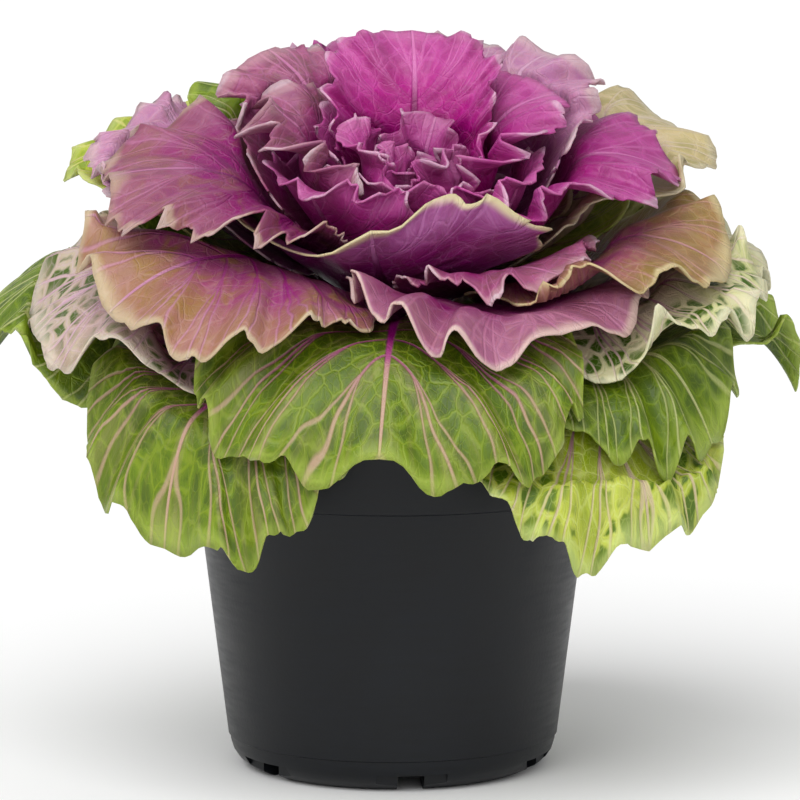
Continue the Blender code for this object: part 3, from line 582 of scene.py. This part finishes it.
def leaf_material(name, colours, veins, underside):
    """Living kale leaf with its waxy bloom: soft gloss, and a little light comes through."""
    settings = bpy.context.scene.kale_leaf
    made, tree, shader = new_material(name)
    vein = add(tree, "Group", node_tree=veins)
    put = vein.outputs
    flat = add(tree, "Attribute", attribute_name="flat")
    # patches about 8 mm across blur where one colour turns into the next
    mottle = add(tree, "TexNoise", {"Vector": flat.outputs["Vector"], "Scale": 0.12,
                                    "Detail": 3.0})
    reach = add(tree, "Math", {0: mottle, 1: 0.5}, operation="SUBTRACT")
    reach = add(tree, "Math", {0: reach, 1: 0.45, 2: put["Along"]}, operation="MULTIPLY_ADD")
    ramp = add(tree, "ValToRGB", {0: reach})
    if underside:
        turns = ((0.35, colours.under), (0.8, colours.under_edge))
    else:
        turns = ((0.15, colours.deep), (0.92, colours.edge), (0.5, colours.body))
    stops = ramp.color_ramp.elements
    for stop, (position, turn) in zip(stops, turns):
        stop.position, stop.color = position, linear(turn)
    for position, turn in turns[2:]:
        stops.new(position).color = linear(turn)
    colour = ramp
    share = 0.35 if underside else 1.0
    layers = [
        (put["Streak"], colours.rib_far, 0.3 * share),
        (put["Blotch"], colours.blotch, colours.blotch_share * share),
        (put["Cells"], colours.cell, colours.cell_share * share),
        (put["Net"], colours.under_rib if underside else colours.net, colours.net_share),
    ]
    for mask, paint, amount in layers:
        factor = add(tree, "Math", {0: mask, 1: amount}, operation="MULTIPLY")
        below = colour.outputs[0 if colour is ramp else 2]
        colour = add(tree, "Mix", {0: factor, 6: below, 7: linear(paint)}, data_type="RGBA")
    near, far, shown = colours.rib, colours.rib_far, colours.lines
    if underside:
        near, far, shown = colours.under_rib, colours.under_rib, colours.under_lines
    reach_vein = add(tree, "MapRange", {0: put["Along"], 1: 0.42, 2: 0.85, 3: 0.0, 4: 1.0})
    vein_colour = add(tree, "Mix", {0: reach_vein, 6: linear(near), 7: linear(far)},
                      data_type="RGBA")
    side = add(tree, "Math", {0: put["Side veins"], 1: shown}, operation="MULTIPLY")
    lines = add(tree, "Math", {0: put["Rib"], 1: side}, operation="MAXIMUM")
    colour = add(tree, "Mix", {0: lines, 6: colour.outputs[2], 7: vein_colour.outputs[2]},
                 data_type="RGBA")
    factor = add(tree, "Math", {0: put["Edge"], 1: colours.rim_share}, operation="MULTIPLY")
    colour = add(tree, "Mix", {0: factor, 6: colour.outputs[2], 7: linear(colours.rim)},
                 data_type="RGBA")
    # painted highlight: the points of the teeth of the frilled leaves are painted white as glints
    tooth_glint_share = 0.35 if colours.rim_share < 0.5 else 0.2
    factor = add(tree, "Math", {0: put["Tip"], 1: tooth_glint_share}, operation="MULTIPLY")
    colour = add(tree, "Mix", {0: factor, 6: colour.outputs[2], 7: settings.tooth},
                 data_type="RGBA")
    tone = add(tree, "MapRange", {0: put["Tone"], 1: 0.0, 2: 1.0, 3: 0.74, 4: 0.94})
    colour = add(tree, "HueSaturation", {"Saturation": 1.12, "Value": tone,
                                         "Color": colour.outputs[2]})
    # the blade swells between the veins, which are sunk on top and stand out below
    swell = add(tree, "Math", {0: put["Net"], 1: -0.35}, operation="MULTIPLY")
    relief = add(tree, "Math", {0: lines, 1: -1.0, 2: swell}, operation="MULTIPLY_ADD")
    grain = add(tree, "TexNoise", {"Vector": flat.outputs["Vector"], "Scale": 1.6, "Detail": 3.0})
    relief = add(tree, "Math", {0: grain, 1: 0.3, 2: relief}, operation="MULTIPLY_ADD")
    bump = add(tree, "Bump", {"Height": relief, "Strength": 0.6, "Distance": 0.0006},
               invert=underside)
    surface(tree, shader, colour, bump)
    shader.inputs["Roughness"].default_value = settings.bloom + (0.07 if underside else 0)
    shader.inputs["Specular IOR Level"].default_value = 0.4
    shader.inputs["Subsurface Weight"].default_value = 0.12
    shader.inputs["Subsurface Radius"].default_value = (1.0, 0.6, 0.4)
    shader.inputs["Subsurface Scale"].default_value = 0.0012
    return made


def deselect():
    """Deselects everything."""
    for piece in bpy.context.selected_objects:
        piece.select_set(False)


def own_attribute(mesh, name, values):
    """Stores three numbers for each point of a mesh."""
    made = mesh.attributes.new(name, "FLOAT_VECTOR", "POINT")
    made.data.foreach_set("vector", values.astype(np.float32).ravel())


def uneven(along, side, draw, waves):
    """Waves of uneven length and height along both edges of a leaf, from -1 to 1. Both edges
    meet in the same wave at the tip."""
    total = 0
    for share, stretch in ((0.6, 1.0), (0.4, 1.37), (0.3, 0.71)):
        left, right, tip = draw.uniform(0, 2 * np.pi, 3)
        meet = along**8
        turn = np.where(side < 0, left, right) * (1 - meet) + tip * meet
        total = total + share * np.sin(2 * np.pi * waves * stretch * along + turn)
    return total


def frill(leaf, row, column, seed, style):
    """The finer waves across the blade and the teeth along its edge, both in metres."""
    draw = np.random.default_rng(seed + FRILL_SEED)
    along = np.clip(row, 0, 1)
    side = np.abs(column)
    fade = np.clip(along / 0.1, 0, 1) * (row > 0)
    edge_length = 2.2 * leaf.length * (0.6 + 0.4 * leaf.width / 40)
    second = uneven(along, column, draw, edge_length / style.second_wave / 2)
    third = uneven(along, column, draw, edge_length / style.third_wave / 2)
    across = style.second * rounded(second) * side**3.2 + style.third * third * side**7
    lobes = uneven(along, column, draw, edge_length / style.lobe_wave / 2)
    points = uneven(along, column, draw, edge_length / style.tooth_wave / 2)
    points = np.clip(points - 0.1, 0, 1) ** 1.5
    outwards = style.lobe * rounded(lobes) * side**5 + style.tooth * points * side**14
    return across * MM * fade, outwards * MM * fade * (1 - along**12)


def leaf_grid(leaf, seed, cells, rows, columns, style):
    """One leaf as a grid moved onto its course, seen from above, before it has a thickness."""
    deselect()
    bpy.ops.mesh.primitive_grid_add(
        x_subdivisions=len(columns) - 1, y_subdivisions=len(rows) - 1, size=1
    )
    piece = bpy.context.object
    mesh = piece.data
    # the grid counts across first; its left edge is the leaf's right, so that it faces up
    columns = columns[::-1]
    draw = np.random.default_rng(seed + TONE_SEED)
    x, y = flat_blade(leaf, rows, columns)
    row, column = np.meshgrid(rows, columns, indexing="ij")
    side = np.abs(column)
    laterals = 6.5 + 0.03 * leaf.length
    # the blade swells between the side veins
    swell = np.sin(np.pi * (np.clip(row, 0, 1) * laterals % 1.0)) ** 2
    settings = bpy.context.scene.kale_leaf
    swell = (swell - 0.5) * settings.swelling * np.sin(np.pi * np.clip(side, 0, 1)) ** 0.8
    frills, teeth = frill(leaf, row, column, seed, style)
    frills = frills + np.where(row > 0, swell, 0)
    reach, azimuth, layer = leaf_course(leaf, seed, rows, columns, cells, teeth, frills)
    points = leaf_points(reach, azimuth, layer) + np.array(PLACE)
    mesh.vertices.foreach_set("co", points.reshape(-1, 3).ravel())
    edge = (1 - side) * leaf.width * np.sin(np.pi * np.clip(row, 0.02, 0.98)) ** 0.72
    edge = np.where(row < 0, 20, edge) - teeth / MM
    # each leaf has its own tone, and reads the patterns at a place of its own
    tone = np.full(row.shape, draw.uniform(0, 1))
    own_attribute(mesh, "flat", np.stack([x / MM, y / MM, tone * 400], axis=-1))
    own_attribute(mesh, "vein", np.stack([np.clip(row, 0, 1) * laterals, side, edge], axis=-1))
    own_attribute(mesh, "grow", np.stack([reach / MM / leaf.length, tone, row], axis=-1))
    bpy.ops.object.mode_set(mode="EDIT")
    bpy.ops.mesh.select_all(action="SELECT")
    bpy.ops.mesh.remove_doubles(threshold=0.02 * MM)
    bpy.ops.object.mode_set(mode="OBJECT")
    bpy.ops.object.shade_smooth()
    # a blade is thickest on its rib and thins outwards and towards its tip
    thin = piece.vertex_groups.new(name="rib")
    grown = np.empty(len(mesh.vertices) * 3, np.float32)
    mesh.attributes["flat"].data.foreach_get("vector", grown)
    across = np.abs(grown.reshape(-1, 3)[:, 0])
    mesh.attributes["grow"].data.foreach_get("vector", grown)
    tip = grown.reshape(-1, 3)[:, 0]
    rib_half = 1.6 * (1.1 - np.clip(tip, 0, 1))
    weight = 0.42 + 0.58 * np.exp(-((across / np.maximum(rib_half, 0.3)) ** 2)) * (1 - 0.7 * tip)
    for index, value in enumerate(np.clip(weight, 0.3, 1)):
        thin.add([index], float(value), "REPLACE")
    return piece


def thicken(piece, thickness):
    """Gives a leaf its thickness downwards; the lower face takes the second material."""
    shell = piece.modifiers.new("blade", "SOLIDIFY")
    shell.thickness = thickness
    shell.offset = -1
    shell.vertex_group = "rib"
    shell.use_even_offset = False
    shell.material_offset = 1
    shell.material_offset_rim = 1
    bpy.context.view_layer.objects.active = piece
    bpy.ops.object.modifier_apply(modifier=shell.name)


def coat(piece, materials):
    """Gives a piece these materials in place of those that it had."""
    piece.data.materials.clear()
    for material in materials:
        piece.data.materials.append(material)


def finish_piece(piece, name, node, materials):
    """Names a piece, coats it, and puts it in the place of its solid."""
    piece.name = name
    piece.data.name = name
    coat(piece, materials)
    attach(piece, "root")
    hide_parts(node)


def style_of(leaf):
    """The head is frilled like parsley, and the outer leaves are plainer."""
    if leaf in HEART_LEAVES or leaf.name.startswith("inner"):
        return CURLY
    if leaf.name.startswith("middle") or leaf.name in ("pink_left", "purple_left"):
        return WAVY
    return SMOOTH


LAID = lay_leaves()
# Upper and lower material of each palette, made when it is first used
LEAF_MATERIALS = {}


def leaf_materials(palette):
    """The upper and the lower side of one kind of leaf."""
    if palette not in LEAF_MATERIALS:
        veins = bpy.data.node_groups.get("kale_veins") or vein_group()
        colours = PALETTES[palette]
        LEAF_MATERIALS[palette] = (
            leaf_material(f"kale_leaf_{palette}", colours, veins, False),
            leaf_material(f"kale_leaf_{palette}_underside", colours, veins, True),
        )
    return LEAF_MATERIALS[palette]


def fineness():
    return 1.0


def grow_leaf(leaf, seed, cells, palette):
    """One whole leaf, with its two sides."""
    blade_rows = max(int(ROWS_PER_MM * leaf.length * fineness()), 40)
    rows = np.concatenate([np.linspace(-1, 0, STALK_ROWS)[:-1], np.linspace(0, 1, blade_rows)])
    # columns lie closer towards the edge, where the frill is
    half = np.linspace(0, 1, HALF_COLUMNS) ** 0.85
    columns = np.concatenate([-half[:0:-1], half])
    piece = leaf_grid(leaf, seed, cells, rows, columns, style_of(leaf))
    coat(piece, leaf_materials(palette))
    thicken(piece, bpy.context.scene.kale_leaf.thickness)
    return piece


def pot_plastic():
    """Injection-moulded polypropylene, black with a blue cast: a satin skin with faint scuffs."""
    settings = bpy.context.scene.kale_pot
    made, tree, shader = new_material("pot_moulded_polypropylene")
    place = add(tree, "TexCoord").outputs["Object"]
    # scuffs run round the pot, 12 mm long and 1 mm high, among patches of dust 17 mm across
    low = add(tree, "Mapping", {0: place, "Scale": (40, 40, 400)})
    scuff = add(tree, "TexNoise", {"Vector": low, "Scale": 2.0, "Detail": 4.0})
    dust = add(tree, "TexNoise", {"Vector": place, "Scale": 60.0, "Detail": 4.0})
    mask = add(tree, "Math", {0: scuff, 1: dust}, operation="MULTIPLY")
    colour = add(tree, "ValToRGB", {0: mask})
    colour.color_ramp.elements[0].position = 0.1
    colour.color_ramp.elements[0].color = settings.plastic
    colour.color_ramp.elements[1].position = 0.5
    colour.color_ramp.elements[1].color = settings.scuffed
    gloss = add(tree, "MapRange", {0: mask, 1: 0.1, 2: 0.45, 3: 0.36, 4: 0.52})
    # the skin of the mould, 1 mm
    grain = add(tree, "TexNoise", {"Vector": place, "Scale": 900.0, "Detail": 2.0})
    bump = add(tree, "Bump", {"Height": grain, "Strength": 0.15, "Distance": 0.0002})
    tree.links.new(gloss.outputs[0], shader.inputs["Roughness"])
    surface(tree, shader, colour, bump)
    shader.inputs["IOR"].default_value = 1.49
    shader.inputs["Specular IOR Level"].default_value = 0.3
    return made


def peat():
    """Moist peat and composted bark: dull, dark brown, with paler fibres."""
    settings = bpy.context.scene.kale_pot
    made, tree, shader = new_material("soil_peat_and_bark")
    place = add(tree, "TexCoord").outputs["Object"]
    # crumbs of 2.4 mm and fibres of 3 mm
    crumb = add(tree, "TexVoronoi", {"Vector": place, "Scale": 420.0})
    speck = add(tree, "TexNoise", {"Vector": place, "Scale": 300.0, "Detail": 5.0})
    ramp = add(tree, "ValToRGB", {0: speck})
    ramp.color_ramp.elements[0].position = 0.35
    ramp.color_ramp.elements[0].color = settings.peat
    ramp.color_ramp.elements[1].position = 0.75
    ramp.color_ramp.elements[1].color = settings.fibre
    relief = add(tree, "Math", {0: crumb, 1: speck}, operation="MULTIPLY")
    bump = add(tree, "Bump", {"Height": relief, "Strength": 0.9, "Distance": 0.002})
    surface(tree, shader, ramp, bump)
    shader.inputs["Roughness"].default_value = 0.95
    return made


def stem_skin():
    """Kale stem, green and slightly corky: dull, with paler patches."""
    settings = bpy.context.scene.kale_pot
    made, tree, shader = new_material("kale_stem")
    place = add(tree, "TexCoord").outputs["Object"]
    # patches of 5 mm
    cork = add(tree, "TexNoise", {"Vector": place, "Scale": 180.0, "Detail": 5.0})
    ramp = add(tree, "ValToRGB", {0: cork})
    ramp.color_ramp.elements[0].color = settings.stem
    ramp.color_ramp.elements[1].color = settings.cork
    bump = add(tree, "Bump", {"Height": cork, "Strength": 0.6, "Distance": 0.001})
    surface(tree, shader, ramp, bump)
    shader.inputs["Roughness"].default_value = 0.7
    return made


def paint(name, description, default):
    """A colour that the user can change, given as sRGB hex."""
    return bpy.props.FloatVectorProperty(
        name=name, description=description, default=linear(default), subtype="COLOR", size=4,
        min=0, max=1,
    )


def length(name, description, default, low, high):
    """A length that the user can change, in metres."""
    return bpy.props.FloatProperty(
        name=name, description=description, default=default, min=low, max=high, unit="LENGTH"
    )


class KaleLeafSettings(bpy.types.PropertyGroup):
    thickness: length("Rib thickness", "Thickness of a blade at its rib", 1.4 * MM, MM, 3 * MM)
    swelling: length(
        "Swelling", "How far the blade swells between its side veins", 0.8 * MM, 0, 2 * MM
    )
    bloom: bpy.props.FloatProperty(
        name="Roughness", description="Roughness of the waxy bloom on the upper face",
        default=0.43, min=0, max=1, subtype="FACTOR",
    )
    # painted highlight: the colour of the glints painted on the points of the teeth
    tooth: paint("Painted tooth glint", "Colour of the glint painted on the points of the teeth", "#F2E6EC")


class KalePotSettings(bpy.types.PropertyGroup):
    plastic: paint("Plastic", "Colour of the clean plastic", "#04060A")
    scuffed: paint("Scuffed plastic", "Colour where the plastic is scuffed", "#0C1016")
    peat: paint("Peat", "Colour of the moist peat", "#1C120C")
    fibre: paint("Fibre", "Colour of the paler fibres in the peat", "#5A4030")
    stem: paint("Stem", "Colour of the green stem", "#7E8A55")
    cork: paint("Cork", "Colour of the corky parts of the stem", "#A89A78")


class KaleStageSettings(bpy.types.PropertyGroup):
    floor: paint("Floor", "Colour of the paper floor", "#FAFAFA")
    distance: length("Distance", "Distance of the camera", 1.2, 0.4, 5)
    elevation: bpy.props.FloatProperty(
        name="Elevation", description="How far above the horizon the camera stands",
        default=math.radians(7), subtype="ANGLE",
    )
    sky: bpy.props.FloatProperty(
        name="Sky", description="Strength of the even light from all around", default=0.55, min=0,
    )


def grow_pieces(chosen):
    """Builds the leaves that are chosen, each as a piece in place of its solid."""
    for leaf, seed, cells in LAID:
        if leaf in chosen:
            palette = PALETTE_OF[leaf.name]
            piece = grow_leaf(leaf, seed, cells, palette)
            finish_piece(piece, f"leaf_{leaf.name}", leaf.name,
                         leaf_materials(palette))


class KALE_OT_head(bpy.types.Operator):
    """Builds the frilled leaves round the heart"""

    bl_idname = "kale.head"
    bl_label = "Head leaves"

    def execute(self, context):
        grow_pieces(LEAVES[:HEAD_LEAVES])
        return {"FINISHED"}


class KALE_OT_outer(bpy.types.Operator):
    """Builds the plainer leaves below the head"""

    bl_idname = "kale.outer"
    bl_label = "Outer leaves"

    def execute(self, context):
        grow_pieces(LEAVES[HEAD_LEAVES:])
        return {"FINISHED"}


class KALE_OT_heart(bpy.types.Operator):
    """Builds the small leaves of the heart as one piece"""

    bl_idname = "kale.heart"
    bl_label = "Heart"

    def execute(self, context):
        grown = [grow_leaf(leaf, seed, cells, "magenta")
                 for leaf, seed, cells in LAID if leaf in HEART_LEAVES]
        deselect()
        for piece in grown:
            piece.select_set(True)
        context.view_layer.objects.active = grown[0]
        bpy.ops.object.join()
        finish_piece(grown[0], "heart_leaves", "heart", leaf_materials("magenta"))
        return {"FINISHED"}


def turned(profile, sides):
    """A turned shell: a ring drawn along a profile of (radius, height), both its ends closed."""
    deselect()
    bpy.ops.mesh.primitive_circle_add(vertices=sides, radius=profile[0][0], fill_type="NOTHING",
                                      location=(0, 0, 0))
    piece = bpy.context.object
    piece.data.transform(Matrix.Translation((0, 0, profile[0][1])))
    bpy.ops.object.mode_set(mode="EDIT")
    bpy.ops.mesh.select_all(action="SELECT")
    for (radius, height), (wider, higher) in zip(profile, profile[1:]):
        bpy.ops.mesh.extrude_region_move(
            TRANSFORM_OT_translate={"value": (0, 0, higher - height)}
        )
        share = wider / radius
        bpy.ops.transform.resize(value=(share, share, 1))
    bpy.ops.mesh.select_all(action="SELECT")
    bpy.ops.mesh.region_to_loop()
    bpy.ops.mesh.edge_face_add()
    bpy.ops.mesh.select_all(action="SELECT")
    bpy.ops.mesh.fill_holes(sides=0)
    bpy.ops.mesh.normals_make_consistent(inside=False)
    bpy.ops.object.mode_set(mode="OBJECT")
    return piece


def cut_box(piece, low, high, turn):
    """Cuts a box, given by its corners before it is turned round the axis, out of a piece."""
    deselect()
    bpy.ops.mesh.primitive_cube_add(size=1)
    cutter = bpy.context.object
    low, high = Vector(low), Vector(high)
    size = Matrix.Diagonal((*(high - low), 1))
    cutter.data.transform(
        Matrix.Rotation(turn, 4, "Z") @ Matrix.Translation((low + high) / 2) @ size
    )
    cut = piece.modifiers.new("cut", "BOOLEAN")
    cut.operation = "DIFFERENCE"
    cut.solver = "EXACT"
    cut.object = cutter
    bpy.context.view_layer.objects.active = piece
    bpy.ops.object.modifier_apply(modifier=cut.name)
    bpy.data.objects.remove(cutter)


class KALE_OT_pot(bpy.types.Operator):
    """Builds the moulded pot, with its collar, its moulding step and its notched foot"""

    bl_idname = "kale.pot"
    bl_label = "Pot"

    def execute(self, context):
        section = [(radius * MM, height * MM) for radius, height in POT_SECTION]
        piece = turned(section, POT_SIDES)
        half, recess = NOTCH_WIDTH / 2, RECESS_WIDTH / 2
        notch_start = 30 * MM
        recess_start = BODY_FOOT_RADIUS - RECESS_DEPTH - 3 * MM
        past = 60 * MM
        for i in range(NOTCHES):
            turn = NOTCH_TURN + 2 * math.pi * i / NOTCHES
            cut_box(piece, (notch_start, -half, -1 * MM), (past, half, NOTCH_HEIGHT), turn)
            cut_box(piece, (recess_start, -recess, -2 * MM), (past, recess, RECESS_HEIGHT), turn)
        piece.data.transform(Matrix.Translation(PLACE))
        deselect()
        piece.select_set(True)
        context.view_layer.objects.active = piece
        bpy.ops.object.shade_smooth_by_angle(angle=math.radians(32))
        finish_piece(piece, "pot_shell", "pot", [pot_plastic()])
        return {"FINISHED"}


def paint_node(node, material):
    """Gives a solid that stays in the picture its procedural material."""
    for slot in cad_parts[node].material_slots:
        slot.material = material


class KALE_OT_soil(bpy.types.Operator):
    """Finishes the soil as peat and bark"""

    bl_idname = "kale.soil"
    bl_label = "Soil"

    def execute(self, context):
        paint_node("soil", peat())
        return {"FINISHED"}


class KALE_OT_stem(bpy.types.Operator):
    """Finishes the stem"""

    bl_idname = "kale.stem"
    bl_label = "Stem"

    def execute(self, context):
        paint_node("stem", stem_skin())
        return {"FINISHED"}


class KALE_OT_stage(bpy.types.Operator):
    """Lays the pale floor and sets the lights and the camera"""

    bl_idname = "kale.stage"
    bl_label = "Stage"

    def execute(self, context):
        scene = context.scene
        deselect()
        bpy.ops.mesh.primitive_plane_add(size=FLOOR_SIDE, location=(0, 0, 0))
        floor = context.object
        floor.name = "floor"
        settings = scene.kale_stage
        made, _, shader = new_material("floor_paper")
        shader.inputs["Base Color"].default_value = settings.floor
        shader.inputs["Roughness"].default_value = 0.9
        floor.data.materials.append(made)
        world = bpy.data.worlds.new("studio")
        scene.world = world
        world.use_nodes = True
        sky = world.node_tree.nodes["Background"]
        sky.inputs[0].default_value = linear("#FFFFFF")
        sky.inputs[1].default_value = settings.sky
        scene.view_settings.view_transform = "Standard"
        for name, towards, angle, power in SUNS:
            light = bpy.data.lights.new(name, "SUN")
            light.angle = math.radians(angle)
            light.energy = power
            lamp = bpy.data.objects.new(name, light)
            scene.collection.objects.link(lamp)
            lamp.rotation_euler = Vector(towards).to_track_quat("-Z", "Y").to_euler()
        camera = bpy.data.cameras.new("camera")
        holder = bpy.data.objects.new("camera", camera)
        scene.collection.objects.link(holder)
        distance, elevation = settings.distance, settings.elevation
        back = Vector((0, -math.cos(elevation), math.sin(elevation)))
        holder.location = AIM + back * distance
        holder.rotation_euler = (-back).to_track_quat("-Z", "Y").to_euler()
        camera.lens = camera.sensor_width / 2 * distance / HALF_PICTURE
        scene.camera = holder
        return {"FINISHED"}


class KALE_PT_panel(bpy.types.Panel):
    """Lists the steps that build the plant"""

    bl_idname = "KALE_PT_panel"
    bl_label = "Kale"
    bl_space_type = "VIEW_3D"
    bl_region_type = "UI"
    bl_category = "Kale"

    def draw(self, context):
        for step in STEPS:
            self.layout.operator(f"kale.{step}")


STEPS = ("pot", "soil", "stem", "heart", "head", "outer", "stage")
CLASSES = (
    KaleLeafSettings, KalePotSettings, KaleStageSettings, KALE_OT_pot, KALE_OT_soil,
    KALE_OT_stem, KALE_OT_heart, KALE_OT_head, KALE_OT_outer, KALE_OT_stage, KALE_PT_panel,
)


def register():
    for kind in CLASSES:
        bpy.utils.register_class(kind)
    bpy.types.Scene.kale_leaf = bpy.props.PointerProperty(type=KaleLeafSettings)
    bpy.types.Scene.kale_pot = bpy.props.PointerProperty(type=KalePotSettings)
    bpy.types.Scene.kale_stage = bpy.props.PointerProperty(type=KaleStageSettings)


def unregister():
    for name in ("kale_leaf", "kale_pot", "kale_stage"):
        delattr(bpy.types.Scene, name)
    for kind in reversed(CLASSES):
        bpy.utils.unregister_class(kind)


def main():
    register()
    for step in STEPS:
        getattr(bpy.ops.kale, step)()
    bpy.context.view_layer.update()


if __name__ == "__main__":
    main()
